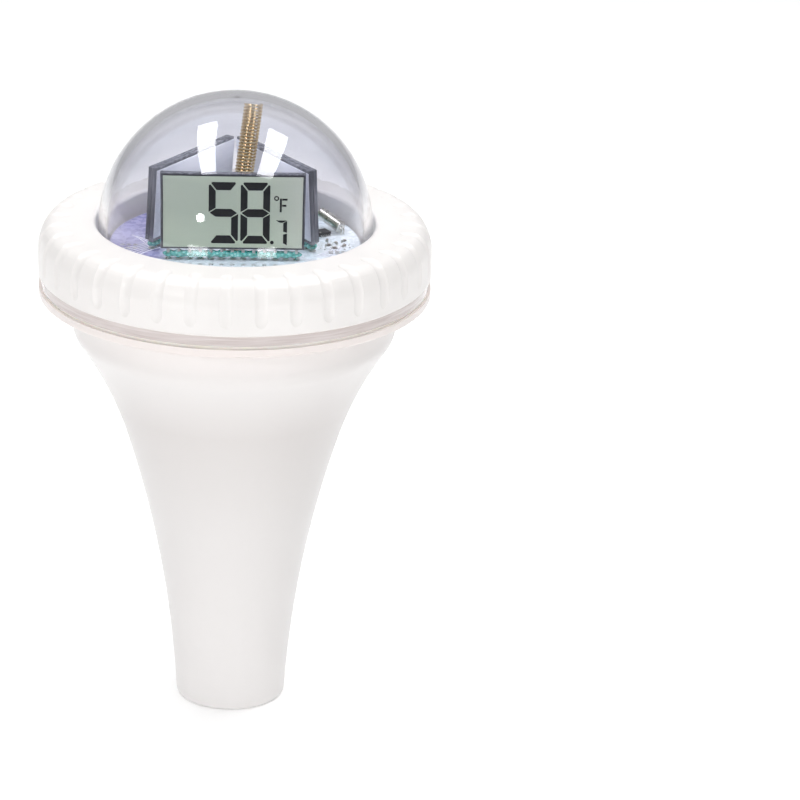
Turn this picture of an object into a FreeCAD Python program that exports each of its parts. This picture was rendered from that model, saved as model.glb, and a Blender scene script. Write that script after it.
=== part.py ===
import FreeCAD, Part
import math
import os

import Sketcher

# Floating pool thermometer. The frame's origin is the centre of the flat foot, +Z is up, and the front display
# faces -Y. Lengths are in millimetres, angles in degrees.

doc = FreeCAD.newDocument("PoolThermometer")
sheet = doc.addObject("Spreadsheet::Sheet", "Sizes")
Vector = FreeCAD.Vector
Z_UP = Vector(0, 0, 1)

DRIVING_SIZES = {
    # hull
    "foot_radius": 13.6,
    "foot_edge": 1.0,
    "foot_slope": 2.92,
    "flare_slope": 17.54,
    "crease_slope": 34.71,
    "crease_round": 6.0,
    "lower_bend": 284.3,
    "upper_bend": 91.8,
    "hull_wall": 2.4,
    "floor_thick": 3.0,
    "lip_radius": 47.9,
    "lip_low": 107.3,
    "lip_top": 109.3,
    "lip_edge": 0.5,
    "mouth_radius": 37.0,
    "seat_radius": 33.6,
    "seat_height": 98.6,
    # screw thread between hull and cover
    "thread_pitch": 3.0,
    "thread_depth": 1.1,
    "thread_root": 1.3,
    "thread_crest": 0.7,
    "hull_thread_start": 101.7,
    "hull_thread_turns": 2.0,
    "cover_thread_turns": 1.75,
    # cover
    "seal_inner": 37.6,
    "seal_outer": 47.2,
    "flange_low": 110.0,
    "flange_top": 112.5,
    "flange_radius": 47.4,
    "dome_radius": 33.5,
    "dome_centre": 123.5,
    "dome_wall": 2.0,
    "skirt_outer": 35.4,
    "skirt_inner": 33.2,
    "skirt_low": 101.2,
    "skirt_bevel": 0.3,
    "skirt_top": 109.8,
    "dome_fillet": 0.4,
    "dome_foot": 111.9,
    # grip collar
    "collar_radius": 48.0,
    "collar_hole": 34.0,
    "collar_top": 125.45,
    "shoulder_low": 118.65,
    "shoulder_width": 4.8,
    "shoulder_bend": 9.02,
    "shoulder_crown": 3.9,
    "collar_wall": 2.4,
    "scoop_radius": 3.2,
    "scoop_depth": 0.42,
    "scoop_low": 116.9,
    "scoop_fade": 3.5,
    "scoop_end": 43.0,
    "scoop_run_out": 4.5,
    "scoop_count": 36,
    # board and carrier
    "board_radius": 31.0,
    "board_thick": 1.6,
    "board_top": 120.0,
    "carrier_wall": 1.8,
    "carrier_floor": 100.0,
    "carrier_foot_radius": 34.6,
    "boss_ring": 8.0,
    "boss_radius": 2.6,
    "screw_radius": 1.0,
    "screw_head": 1.9,
    "screw_head_thick": 1.2,
    # displays
    "panel_width": 34.2,
    "panel_height": 18.7,
    "glass_thick": 2.2,
    "film_thick": 0.3,
    "panel_foot": 122.4,
    "panel_offset": 14.0,
    "panel_lean": 4.0,
    "panel_shift": -0.7,
    "right_panel_angle": 120.0,
    "left_panel_angle": 122.0,
    "pin_pitch": 2.54,
    "pin_count": 13,
    # cells and their holder
    "cell_radius": 5.25,
    "cell_length": 44.5,
    "cell_spacing": 11.0,
    "holder_wall": 1.4,
    "holder_low": 49.5,
    "holder_end": 1.8,
    "contact_thick": 0.4,
    "contact_rise": 1.6,
    # push switches
    "switch_side": 6.0,
    "switch_height": 3.5,
    "button_radius": 1.7,
    "button_play": 0.05,
    "button_low": 122.2,
    "button_height": 2.9,
    # ballast and probe
    "ballast_radius": 10.8,
    "ballast_bore": 4.6,
    "ballast_height": 16.0,
    "probe_radius": 3.0,
    "probe_wall": 0.3,
    "probe_recess": 0.8,
    "lead_radius": 0.8,
}


class Size:
    """A number, with the sheet expression that keeps it bound to the driving sizes."""

    def __init__(self, value, text):
        self.value = value
        self.text = text

    def __add__(self, other):
        other = as_size(other)
        return Size(self.value + other.value, f"({self.text} + {other.text})")

    def __sub__(self, other):
        other = as_size(other)
        return Size(self.value - other.value, f"({self.text} - {other.text})")

    def __mul__(self, other):
        other = as_size(other)
        return Size(self.value * other.value, f"({self.text} * {other.text})")

    def __truediv__(self, other):
        other = as_size(other)
        return Size(self.value / other.value, f"({self.text} / {other.text})")

    def __neg__(self):
        return Size(-self.value, f"(0 - {self.text})")


def as_size(number):
    if isinstance(number, Size):
        return number
    return Size(float(number), f"{number:.6f}" if number >= 0 else f"(0 - {-number:.6f})")


def cosine(angle):
    return Size(math.cos(math.radians(angle.value)), f"cos({angle.text} * 1 deg)")


def sine(angle):
    return Size(math.sin(math.radians(angle.value)), f"sin({angle.text} * 1 deg)")


def fill_sheet():
    """Writes the driving sizes to the sheet and returns them as bound sizes."""
    bound = {}
    for row, (name, number) in enumerate(DRIVING_SIZES.items(), start=1):
        sheet.set(f"A{row}", name)
        sheet.set(f"B{row}", str(number))
        sheet.setAlias(f"B{row}", name)
        bound[name] = Size(float(number), f"{sheet.Name}.{name}")
    doc.recompute()
    return bound


S = fill_sheet()
ZERO = as_size(0)
PIECES = []


def keep(piece, label):
    """Names a finished sub-part."""
    piece.Label = label
    PIECES.append(piece)
    return piece


def bind(piece, **sizes):
    for name, size in sizes.items():
        piece.setExpression(name, as_size(size).text)


def move(piece, x=0, y=0, z=0):
    for axis, size in (("x", x), ("y", y), ("z", z)):
        piece.setExpression(f"Placement.Base.{axis}", as_size(size).text)


# Primitives and booleans


def cylinder(radius, height, x=0, y=0, z=0):
    piece = doc.addObject("Part::Cylinder", "Round")
    bind(piece, Radius=radius, Height=height)
    move(piece, x, y, z)
    return piece


def cone(low_radius, high_radius, height, x=0, y=0, z=0):
    piece = doc.addObject("Part::Cone", "Taper")
    bind(piece, Radius1=low_radius, Radius2=high_radius, Height=height)
    move(piece, x, y, z)
    return piece


def box(length, width, height, x=0, y=0, z=0):
    """A block that is centred on x and y and stands on z."""
    piece = doc.addObject("Part::Box", "Block")
    bind(piece, Length=length, Width=width, Height=height)
    move(piece, as_size(x) - as_size(length) / 2, as_size(y) - as_size(width) / 2, z)
    return piece


def cut(base, *tools):
    piece = doc.addObject("Part::Cut", "Trimmed")
    piece.Base = base
    piece.Tool = tools[0] if len(tools) == 1 else fuse(*tools)
    return piece


def fuse(*shapes):
    piece = doc.addObject("Part::MultiFuse", "Joined")
    piece.Shapes = list(shapes)
    return piece


def group(*shapes):
    """Several separate solids in one node."""
    piece = doc.addObject("Part::Compound", "Set")
    piece.Links = list(shapes)
    return piece


# Bodies drawn from sketches


def plane_of(body, role):
    return next(feature for feature in body.Origin.OriginFeatures if feature.Role == role)


def new_sketch(body, name, role):
    sketch = body.newObject("Sketcher::SketchObject", name)
    sketch.AttachmentSupport = [(plane_of(body, role), "")]
    sketch.MapMode = "FlatFace"
    return sketch


def arc_between(start, end, radius):
    """The arc from start to end: it turns left for a positive radius, and right for a negative one."""
    chord = end - start
    rise = math.sqrt(max(radius * radius - chord.Length * chord.Length / 4, 0))
    left = Vector(-chord.y, chord.x, 0).normalize()
    centre = start + chord * 0.5 + left * math.copysign(rise, radius)
    first, last = (start, end) if radius > 0 else (end, start)
    first_angle, last_angle = [math.atan2(point.y - centre.y, point.x - centre.x) for point in (first, last)]
    return Part.ArcOfCircle(Part.Circle(centre, Z_UP, abs(radius)), first_angle, last_angle)


def bind_constraint(sketch, kind, *where, size):
    number = sketch.addConstraint(Sketcher.Constraint(kind, *where, size.value))
    sketch.setExpression(f"Constraints[{number}]", size.text)


def bind_point(sketch, edge, end, x, y):
    """Fixes a point's two coordinates and binds them to the sheet."""
    for kind, axis, size in (("DistanceX", -2, x), ("DistanceY", -1, y)):
        if size.value == 0:
            sketch.addConstraint(Sketcher.Constraint("PointOnObject", edge, end, axis))
        else:
            bind_constraint(sketch, kind, -1, 1, edge, end, size=size)


def draw(sketch, corners, closed=True):
    """Draws an outline. A corner is (x, y), or (x, y, radius) where an arc runs on to the next corner."""
    sizes = [[as_size(number) for number in corner] for corner in corners]
    points = [Vector(corner[0].value, corner[1].value, 0) for corner in sizes]
    run_count = len(points) if closed else len(points) - 1
    ends = []
    for number in range(run_count):
        start = points[number]
        end = points[(number + 1) % len(points)]
        corner = sizes[number]
        if len(corner) == 2:
            sketch.addGeometry(Part.LineSegment(start, end), False)
            ends.append((1, 2))
            continue
        radius = corner[2]
        edge = sketch.addGeometry(arc_between(start, end, radius.value), False)
        ends.append((1, 2) if radius.value > 0 else (2, 1))
        bind_constraint(sketch, "Radius", edge, size=radius if radius.value > 0 else -radius)
    for number in range(run_count):
        bind_point(sketch, number, ends[number][0], sizes[number][0], sizes[number][1])
        following = (number + 1) % run_count
        if closed or following:
            places = (number, ends[number][1], following, ends[following][0])
            sketch.addConstraint(Sketcher.Constraint("Coincident", *places))
    if not closed:
        bind_point(sketch, run_count - 1, ends[-1][1], sizes[-1][0], sizes[-1][1])


def new_body(label):
    return keep(doc.addObject("PartDesign::Body", label), label)


def revolve(body, corners):
    """Turns an outline of (radius, height) corners about the body's Z axis."""
    sketch = new_sketch(body, "Outline", "XZ_Plane")
    draw(sketch, corners)
    turned = body.newObject("PartDesign::Revolution", "Turned")
    turned.Profile = sketch
    turned.ReferenceAxis = (sketch, ["V_Axis"])
    turned.Angle = 360
    return turned


def add_thread(body, root_radius, crest_radius, start, turns):
    """Adds a right-handed ridge whose root is sunk a little into the wall."""
    sink = as_size(0.2) if crest_radius.value > root_radius.value else as_size(-0.2)
    half_root = S["thread_root"] / 2
    half_crest = S["thread_crest"] / 2
    sketch = new_sketch(body, "Ridge", "XZ_Plane")
    draw(sketch, [
        (root_radius - sink, start - half_root),
        (crest_radius, start - half_crest),
        (crest_radius, start + half_crest),
        (root_radius - sink, start + half_root),
    ])
    ridge = body.newObject("PartDesign::AdditiveHelix", "Thread")
    ridge.Profile = sketch
    ridge.ReferenceAxis = (sketch, ["V_Axis"])
    ridge.Mode = "pitch-turns-angle"
    bind(ridge, Pitch=S["thread_pitch"], Turns=turns)


# Hull


def flare_point(slope, inset=ZERO):
    """A point of the trumpet-shaped wall where it leans by a slope, at a depth inside its outer face."""
    if slope is S["crease_slope"]:
        first = flare_point(S["flare_slope"])
        bend = S["upper_bend"]
        centre_radius = first[0] + bend * cosine(S["flare_slope"])
        centre_height = first[1] - bend * sine(S["flare_slope"])
    else:
        bend = S["lower_bend"]
        centre_radius = S["foot_radius"] + bend * cosine(S["foot_slope"])
        centre_height = -(bend * sine(S["foot_slope"]))
    reach = bend + inset
    return centre_radius - reach * cosine(slope), centre_height + reach * sine(slope)


def make_hull():
    """Hollow trumpet with a flat foot, a threaded mouth under a broad lip, and a seat for the core."""
    wall = S["hull_wall"]
    middle = flare_point(S["flare_slope"])
    crease = flare_point(S["crease_slope"])
    inner_middle = flare_point(S["flare_slope"], wall)
    seat_shoulder = S["seat_height"] - 6.0
    floor_radius = S["foot_radius"] - wall + 0.17
    crease_round = S["crease_round"]
    neck_radius = crease[0] + crease_round - crease_round * cosine(S["crease_slope"])
    edge = S["foot_edge"]
    lip_edge = S["lip_edge"]
    body = new_body("float_hull")
    turned = revolve(body, [
        (S["probe_radius"] + 0.1, ZERO),
        (S["foot_radius"] - edge, ZERO, edge),
        (S["foot_radius"] + 0.05, edge, -S["lower_bend"]),
        (middle[0], middle[1], -S["upper_bend"]),
        (crease[0], crease[1], crease_round),
        (neck_radius, crease[1] + crease_round * sine(S["crease_slope"])),
        (neck_radius, S["lip_low"] - lip_edge, -lip_edge),
        (neck_radius + lip_edge, S["lip_low"]),
        (S["lip_radius"] - lip_edge, S["lip_low"], lip_edge),
        (S["lip_radius"], S["lip_low"] + lip_edge),
        (S["lip_radius"], S["lip_top"]),
        (S["mouth_radius"], S["lip_top"]),
        (S["mouth_radius"], S["seat_height"]),
        (S["seat_radius"], S["seat_height"]),
        (S["seat_radius"], seat_shoulder, S["upper_bend"] + wall),
        (inner_middle[0], inner_middle[1], S["lower_bend"] + wall),
        (floor_radius, S["floor_thick"]),
        (S["probe_radius"] + 0.1, S["floor_thick"]),
    ])
    add_thread(body, S["mouth_radius"], S["mouth_radius"] - S["thread_depth"], S["hull_thread_start"],
               S["hull_thread_turns"])
    return turned


def make_ballast():
    """Cast ring that sits low in the stem; the probe's lead runs up its bore."""
    body = new_body("ballast_ring")
    low = S["floor_thick"] + 3.2
    top = low + S["ballast_height"]
    revolve(body, [
        (S["ballast_bore"], low),
        (S["ballast_radius"] - 0.6, low, 0.6),
        (S["ballast_radius"], low + 0.6),
        (S["ballast_radius"] + 0.7, top - 0.6, 0.6),
        (S["ballast_radius"] + 0.1, top),
        (S["ballast_bore"], top),
    ])


def make_probe():
    """Stainless thimble whose closed end is just inside the foot, and its flange on the hull's floor."""
    outer = S["probe_radius"]
    inner = outer - S["probe_wall"]
    low = S["probe_recess"]
    flange = S["floor_thick"]
    wall = S["probe_wall"]
    body = new_body("probe_cap")
    revolve(body, [
        (ZERO, low),
        (outer - 1.0, low, 1.0),
        (outer, low + 1.0),
        (outer, flange),
        (outer + 2.0, flange),
        (outer + 2.0, flange + wall),
        (inner, flange + wall),
        (inner, low + 1.0, -(as_size(1.0) - wall)),
        (outer - 1.0, low + wall),
        (ZERO, low + wall),
    ])
    bead = new_body("thermistor")
    revolve(bead, [
        (ZERO, low + wall + 0.1),
        (1.1, low + wall + 1.2, 1.1),
        (ZERO, low + wall + 2.3),
    ])


class Lead:
    """A round lead along straight runs joined by tangent arcs."""

    RUN_SHARE = 0.45

    def __init__(self, route, radius):
        self.points = [Vector(*point) for point in route]
        self.radius = radius
        self.length = 0.0
        self.bends = []

    def path(self):
        edges = []
        here = self.points[0]
        for before, corner, after in zip(self.points, self.points[1:], self.points[2:]):
            towards = (corner - before).normalize()
            away = (after - corner).normalize()
            turn = towards.getAngle(away)
            setback = self.RUN_SHARE * min((corner - before).Length, (after - corner).Length)
            self.bends.append(setback / math.tan(turn / 2))
            start = corner - towards * setback
            end = corner + away * setback
            inward = (away - towards).normalize()
            centre = corner + inward * (self.bends[-1] / math.cos(turn / 2))
            middle = centre - inward * self.bends[-1]
            edges.append(Part.LineSegment(here, start).toShape())
            edges.append(Part.Arc(start, middle, end).toShape())
            here = end
        edges.append(Part.LineSegment(here, self.points[-1]).toShape())
        wire = Part.Wire(edges)
        self.length = wire.Length
        return wire

    def solid(self):
        direction = self.points[1] - self.points[0]
        section = Part.Wire(Part.makeCircle(self.radius, self.points[0], direction))
        tube = self.path().makePipeShell([section], True, False)
        expected = math.pi * self.radius ** 2 * self.length
        assert abs(tube.Volume / expected - 1) < 0.02, (tube.Volume, expected)
        print("lead", round(self.length, 1), "mm, bends", [round(bend, 1) for bend in self.bends])
        return tube


def add_shape(label, shape):
    piece = doc.addObject("Part::Feature", label)
    piece.Shape = shape
    piece.Placement = FreeCAD.Placement()
    return keep(piece, label)


def make_sensor_lead():
    """From the thermistor up the ballast's bore, behind the battery holder, and up to the board."""
    board_low = S["board_top"].value - S["board_thick"].value
    bead_top = S["probe_recess"].value + S["probe_wall"].value + 2.3
    route = [
        (0.0, 0.0, bead_top),
        (0.0, 0.0, 22.0),
        (0.0, 5.0, 37.0),
        (0.4, 9.8, 52.0),
        (1.2, 10.2, 72.0),
        (0.2, 10.0, 91.0),
        (-0.6, 12.9, 106.0),
        (-0.6, 12.9, board_low),
    ]
    lead = Lead(route, S["lead_radius"].value)
    add_shape("sensor_lead", lead.solid())


def make_potting():
    """Resin plug that covers the thimble's flange and grips the lead."""
    low = S["floor_thick"] + S["probe_wall"]
    plug = cone(S["foot_radius"] - S["hull_wall"] + 0.1, S["foot_radius"] - S["hull_wall"] + 0.2, 2.6, z=low)
    keep(cut(plug, cylinder(S["lead_radius"], 4.0, z=low - 0.5)), "probe_potting")


# Core: carrier, holder, cells, contacts


def boss_places():
    ring = S["boss_ring"].value
    angles = (30, 150, 270)
    return [(ring * math.cos(math.radians(angle)), ring * math.sin(math.radians(angle))) for angle in angles]


LEAD_HOLE = (-0.2, 11.5)
HOLDER_LUG = 14.4
POSITIVE_SIDE = -1
BATTERY_LEAD_HOLES = ((-15.0, 10.0), (15.0, 10.0))


def make_carrier():
    """Cup that stands on the hull's seat and carries the board on its rim."""
    wall = S["carrier_wall"]
    floor_low = S["carrier_floor"]
    floor_top = floor_low + wall
    rim = S["board_top"] - S["board_thick"]
    foot_low = S["seat_height"]
    cup = doc.addObject("PartDesign::Body", "CarrierCup")
    revolve(cup, [
        (ZERO, floor_low),
        (S["seat_radius"] - 1.6, floor_low),
        (S["seat_radius"] - 1.6, foot_low),
        (S["carrier_foot_radius"], foot_low),
        (S["carrier_foot_radius"], floor_low + 0.4),
        (S["board_radius"], floor_low + 0.4),
        (S["board_radius"], rim),
        (S["board_radius"] - wall, rim),
        (S["board_radius"] - wall, floor_top),
        (ZERO, floor_top),
    ])
    bosses = [cylinder(S["boss_radius"], rim - floor_top + 0.5, x, y, floor_top - 0.5) for x, y in boss_places()]
    bores = [cylinder(S["screw_radius"] + 0.05, 12.0, x, y, rim - 12.0) for x, y in boss_places()]
    lead_hole = cylinder(S["lead_radius"] + 1.6, 4.0, *LEAD_HOLE, floor_low - 1.0)
    small_holes = [cylinder(1.2, 4.0, x, y, floor_low - 1.0) for x, y in BATTERY_LEAD_HOLES]
    screw_holes = [
        cylinder(S["screw_radius"] + 0.2, 4.0, side * HOLDER_LUG, ZERO, floor_low - 1.0) for side in (-1, 1)
    ]
    keep(cut(fuse(cup, *bosses), lead_hole, *bores, *small_holes, *screw_holes), "core_carrier")


def make_holder():
    """Open-fronted cradle for the two cells, hung under the carrier by a lug on each side."""
    low = S["holder_low"]
    top = S["carrier_floor"]
    wall = S["holder_wall"]
    end = S["holder_end"]
    inner_width = S["cell_spacing"] + S["cell_radius"] * 2 + 0.5
    outer_width = inner_width + wall * 2
    front = -4.5
    back = S["cell_radius"] + 0.25
    depth = back + wall - front
    block = box(outer_width, depth, top - low, ZERO, (back + wall + front) / 2, low)
    room_low = low + end
    room = box(inner_width, depth, top - low - end * 2, ZERO, (back + wall + front) / 2 - wall, room_low)
    lips = [
        box(0.9, 0.8, top - low - 8.0, (inner_width / 2 - 0.4) * side, as_size(front + 0.4), low + 4.0)
        for side in (-1, 1)
    ]
    lugs = [box(5.6, 5.0, 6.0, as_size(side * 13.9), ZERO, top - 6.0) for side in (-1, 1)]
    bores = [
        cylinder(S["screw_radius"] + 0.05, 5.6, side * HOLDER_LUG, ZERO, top - 5.0) for side in (-1, 1)
    ]
    slots = [box(3.0, 4.0, 1.4, as_size(side * 5.5), back + 0.7, top - end - 1.0) for side in (-1, 1)]
    shell = cut(block, room, *slots)
    keep(cut(fuse(shell, *lips, *lugs), *bores), "battery_holder")


def make_cell(label, side, nub_up):
    """A sleeved cell with its small positive nub at one end."""
    nub = 0.8
    low = S["holder_low"] + S["holder_end"] + S["contact_thick"]
    if nub_up:
        low = low + S["contact_rise"]
    can_low = low if nub_up else low + nub
    x = S["cell_spacing"] / 2 * side
    can = cylinder(S["cell_radius"], S["cell_length"] - nub, x, ZERO, can_low)
    tip_low = low + S["cell_length"] - nub if nub_up else low
    tip = cylinder(1.9, nub, x, ZERO, tip_low)
    keep(fuse(can, tip), label)


def dimple(x, z, up):
    """Hollow pressed dimple that bears on a cell's flat end."""
    rise = S["contact_rise"]
    thick = 0.3
    if up:
        return cut(cone(3.0, 1.6, rise, x, ZERO, z), cone(3.0 - thick, 1.6 - thick, rise, x, ZERO, z - thick))
    low = z - rise
    return cut(cone(1.6, 3.0, rise, x, ZERO, low), cone(1.6 - thick, 3.0 - thick, rise, x, ZERO, low + thick))


def make_contacts():
    thick = S["contact_thick"]
    low = S["holder_low"] + S["holder_end"]
    top = S["carrier_floor"] - S["holder_end"]
    half = S["cell_spacing"] / 2
    positive_x = half * POSITIVE_SIDE
    negative_x = -positive_x
    bridge = box(20.0, 8.0, thick, ZERO, ZERO, low)
    keep(fuse(bridge, dimple(positive_x, low + thick, True)), "bridge_contact")
    tab_length = 3.6
    for label, x in (("positive_contact", positive_x), ("negative_contact", negative_x)):
        plate = box(8.0, 8.0, thick, x, ZERO, top - thick)
        tab = box(2.0, tab_length, thick, x, as_size(7.4 - tab_length / 2), top - thick)
        pieces = [plate, tab]
        if label == "negative_contact":
            pieces.append(dimple(x, top - thick, False))
        keep(fuse(*pieces), label)


def make_battery_leads():
    """Two leads from the holder's contact slots, out to the sides and up to the board."""
    board_low = S["board_top"].value - S["board_thick"].value
    tubes = []
    for side in (-1, 1):
        route = [
            (side * 5.5, 7.4, 98.0),
            (side * 5.5, 10.4, 98.0),
            (side * 9.6, 12.2, 96.8),
            (side * 14.4, 11.0, 97.6),
            (side * 15.4, 10.0, 101.4),
            (side * 14.8, 10.4, 106.0),
            (side * 14.4, 11.6, 111.6),
            (side * 14.4, 11.6, board_low),
        ]
        tubes.append(Lead(route, 0.6).solid())
    add_shape("battery_leads", Part.Compound(tubes))


# Board and what stands on it


def make_board():
    top = S["board_top"]
    thick = S["board_thick"]
    disc = cylinder(S["board_radius"], thick, z=top - thick)
    holes = [cylinder(S["screw_radius"] + 0.2, thick + 2, x, y, top - thick - 1) for x, y in boss_places()]
    keep(cut(disc, *holes), "main_board")


def screw(x, y, head_low, length):
    head = cylinder(S["screw_head"], S["screw_head_thick"], x, y, head_low)
    shank = cylinder(S["screw_radius"], length, x, y, head_low - length)
    recess = [
        box(length_x, length_y, 1.0, as_size(x), as_size(y), head_low + 0.6)
        for length_x, length_y in ((2.0, 0.5), (0.5, 2.0))
    ]
    return cut(fuse(head, shank), *recess)


def make_screws():
    keep(group(*[screw(x, y, S["board_top"], 10.0) for x, y in boss_places()]), "board_screws")
    lid = S["carrier_floor"] + S["carrier_wall"]
    keep(group(*[screw(side * HOLDER_LUG, 0.0, lid, 6.5) for side in (-1, 1)]), "holder_screws")


def panel_place(angle, shift=0.0):
    """The corner frame of a display: its front face is local y = 0 and its lower edge is local z = 0."""
    spin = FreeCAD.Rotation(Z_UP, angle)
    lean = FreeCAD.Rotation(Vector(1, 0, 0), -S["panel_lean"].value)
    foot = spin.multVec(Vector(shift, -S["panel_offset"].value, 0))
    foot = foot + Vector(S["panel_shift"].value, 0, S["panel_foot"].value)
    return FreeCAD.Placement(foot, spin.multiply(lean))


def set_in_panel(piece, panel, x, y, z):
    piece.Placement = panel.multiply(FreeCAD.Placement(Vector(x, y, z), FreeCAD.Rotation()))
    return piece


def panel_block(panel, length, width, height, x, y, z):
    """A block in a display's own frame, centred on its local x."""
    piece = doc.addObject("Part::Box", "PanelBlock")
    bind(piece, Length=length, Width=width, Height=height)
    return set_in_panel(piece, panel, x - as_size(length).value / 2, y, z)


def pin_row(panel):
    """Clip-on pins: each has a finger on the glass's front face and a leg down to the board."""
    pins = []
    count = int(S["pin_count"].value)
    for number in range(count):
        x = (number - (count - 1) / 2) * S["pin_pitch"].value
        finger = panel_block(panel, 1.0, 0.3, 1.9, x, -0.3, -0.4)
        foot = panel_block(panel, 1.0, 1.6, 0.3, x, -0.3, -0.4)
        leg = panel_block(panel, 0.6, 0.4, 2.1, x, 0.7, -2.2)
        pins.append(fuse(finger, foot, leg))
    return group(*pins)


def make_display(side, angle, shift):
    """One liquid crystal panel: glass, backing film, pins and the resin bead over them."""
    panel = panel_place(angle, shift)
    width = S["panel_width"]
    height = S["panel_height"]
    glass = panel_block(panel, width, S["glass_thick"], height, 0, 0, 0)
    keep(glass, f"{side}_display_glass")
    film_gap = S["glass_thick"].value
    film = panel_block(panel, width - 0.6, S["film_thick"], height - 1.6, 0, film_gap, 1.0)
    keep(film, f"{side}_display_reflector")
    pins = keep(pin_row(panel), f"{side}_display_pins")
    bead = panel_block(panel, width - 0.8, 3.3, 1.9, 0, -0.75, -2.0)
    keep(cut(bead, pins), f"{side}_resin_bead")


def make_antenna():
    """Close-wound coil, drawn here as its own outer tube, leaning to the right and a little back."""
    low = Vector(0.0, 4.0, S["board_top"].value)
    top = Vector(4.0, 6.3, 152.4)
    axis = top - low
    tube = cut(cylinder(2.1, axis.Length), cylinder(1.5, axis.Length))
    tube.Placement = FreeCAD.Placement(low + Vector(0, 0, 0.35), FreeCAD.Rotation(Z_UP, axis))
    keep(tube, "antenna_coil")


def make_crystal():
    """Small round can on the board, its far end raised on its leads."""
    near = Vector(26.2, 6.3, 121.75)
    far = Vector(20.9, 11.6, 124.0)
    can = doc.addObject("Part::Cylinder", "Can")
    bind(can, Radius=1.5, Height=8.0)
    can.Placement = FreeCAD.Placement(near, FreeCAD.Rotation(Z_UP, far - near))
    keep(can, "crystal_can")


def make_chips():
    top = S["board_top"]
    controller = cut(box(3.6, 3.6, 1.1), cylinder(0.3, 0.2, -1.3, -1.3, 1.0))
    controller.Placement = FreeCAD.Placement(Vector(21.4, 5.6, top.value), FreeCAD.Rotation(Z_UP, 30))
    keep(controller, "controller_chip")
    keep(box(5.0, 4.0, 1.4, as_size(-7.0), as_size(-4.0), top), "radio_chip")


SMALL_PLACES = (
    (23.0, -3.0), (24.6, -1.0), (26.2, 1.2), (22.6, 1.0), (27.8, -2.6), (25.4, -5.2),
    (-8.0, 1.0), (-4.0, 1.6), (6.5, -4.6), (9.0, -1.0), (4.0, -5.0), (-3.0, -8.6),
)


def make_small_components():
    top = S["board_top"]
    parts = []
    for number, (x, y) in enumerate(SMALL_PLACES):
        long_way, short_way = (1.6, 0.8) if number % 2 else (0.8, 1.6)
        parts.append(box(long_way, short_way, 0.6, as_size(x), as_size(y), top))
    keep(group(*parts), "small_components")


def switch_places():
    """Two places behind the left display, in its own direction."""
    angle = math.radians(-S["left_panel_angle"].value)
    outward = Vector(math.sin(angle), -math.cos(angle), 0)
    towards_apex = Vector(-math.cos(angle), -math.sin(angle), 0)
    reach = 20.2
    steps = {"pairing": 1.6, "unit": 9.6}
    return {name: outward * reach + towards_apex * step for name, step in steps.items()}


def make_switches():
    top = S["board_top"]
    bore_low = S["button_low"] - 0.5
    for name, place in switch_places().items():
        x = as_size(place.x)
        y = as_size(place.y)
        housing = box(S["switch_side"], S["switch_side"], S["switch_height"], x, y, top)
        bore = cylinder(S["button_radius"] + S["button_play"], 4.0, x, y, bore_low)
        keep(cut(housing, bore), f"{name}_switch")
        plunger = cylinder(S["button_radius"], S["button_height"], x, y, S["button_low"])
        keep(plunger, f"{name}_button")


# Cover


def make_seal():
    body = new_body("seal_ring")
    low = S["lip_top"]
    top = S["flange_low"]
    revolve(body, [
        (S["seal_inner"], low),
        (S["seal_outer"], low),
        (S["seal_outer"], top),
        (S["seal_inner"], top),
    ])


def make_dome():
    """Clear dome whose wall runs down into a broad flange and a threaded skirt."""
    outer = S["dome_radius"]
    inner = outer - S["dome_wall"]
    centre = S["dome_centre"]
    fillet = S["dome_fillet"]
    bevel = S["skirt_bevel"]
    body = new_body("dome_cover")
    revolve(body, [
        (inner, S["dome_foot"]),
        (inner, centre, inner),
        (ZERO, centre + inner),
        (ZERO, centre + outer, -outer),
        (outer, centre),
        (outer, S["flange_top"] + fillet, fillet),
        (outer + fillet, S["flange_top"]),
        (S["flange_radius"], S["flange_top"]),
        (S["flange_radius"], S["flange_low"]),
        (S["skirt_outer"], S["flange_low"]),
        (S["skirt_outer"], S["skirt_low"] + bevel),
        (S["skirt_outer"] - bevel, S["skirt_low"]),
        (S["skirt_inner"], S["skirt_low"]),
        (S["skirt_inner"], S["skirt_top"]),
    ])
    add_thread(body, S["skirt_outer"], S["skirt_outer"] + S["thread_depth"],
               S["hull_thread_start"] + S["thread_pitch"] / 2, S["cover_thread_turns"])


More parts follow.
